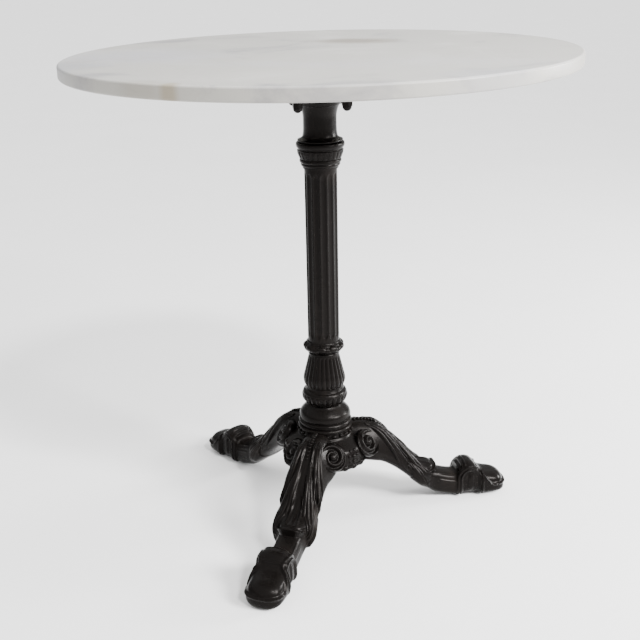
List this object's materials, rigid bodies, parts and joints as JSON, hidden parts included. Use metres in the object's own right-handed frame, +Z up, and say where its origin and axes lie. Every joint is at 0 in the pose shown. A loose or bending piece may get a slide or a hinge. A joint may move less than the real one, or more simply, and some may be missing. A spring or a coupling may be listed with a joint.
{
  "type": "bistro table",
  "caption": "Round marble bistro table on a black cast-iron column with a fluted shaft and scrolled legs.",
  "frame": {"origin": "on the floor, under the middle of the column and of the round top", "axes": "+Z up along the column, -Y towards the toe of the front leg, +X to the right seen from that side"},
  "size_m": [0.6999, 0.7, 0.705],
  "materials": {
    "marble": "honed pale grey marble with soft beige and grey clouding",
    "black_iron": "semi-gloss black paint over cast iron",
    "black_steel": "semi-gloss black paint over steel",
    "plated_steel": "zinc plated",
    "brass_inserts": "plain turned brass",
    "rubber_pads": "matte black rubber",
    "nylon": "matte black nylon"
  },
  "bodies": {
    "table": {"marble_top": "marble", "top_inserts": "brass_inserts", "arm_screws": "plated_steel", "arm_pads": "rubber_pads", "top_spider": "black_iron", "flange_bolts": "plated_steel", "flange_washers": "black_steel", "dome_nuts": "black_steel", "column_neck": "black_iron", "capital": "black_iron", "fluted_shaft": "black_iron", "leaf_collar": "black_iron", "vase_section": "black_iron", "gadroon_ring": "black_iron", "bell_base": "black_iron", "hub_collar": "black_iron", "hub": "black_iron", "leg_bolts": "plated_steel", "leg_washers": "plated_steel", "tie_rod": "plated_steel", "tie_rod_top_washer": "plated_steel", "tie_rod_top_nut": "plated_steel", "tie_rod_bottom_washer": "plated_steel", "tie_rod_bottom_nut": "plated_steel", "leg_front": "black_iron", "leg_right": "black_iron", "leg_left": "black_iron"},
    "glide_front": {"glide_pad_front": "nylon", "glide_stud_front": "plated_steel"},
    "glide_right": {"glide_pad_right": "nylon", "glide_stud_right": "plated_steel"},
    "glide_left": {"glide_pad_left": "nylon", "glide_stud_left": "plated_steel"}
  },
  "joints": [
    {"name": "glide_front_slide", "type": "slide", "parent": "table", "child": "glide_front", "axis": [0, 0, -1], "range_m": [0, 0.005]},
    {"name": "glide_right_slide", "type": "slide", "parent": "table", "child": "glide_right", "axis": [0, 0, -1], "range_m": [0, 0.005]},
    {"name": "glide_left_slide", "type": "slide", "parent": "table", "child": "glide_left", "axis": [0, 0, -1], "range_m": [0, 0.005]}
  ]
}
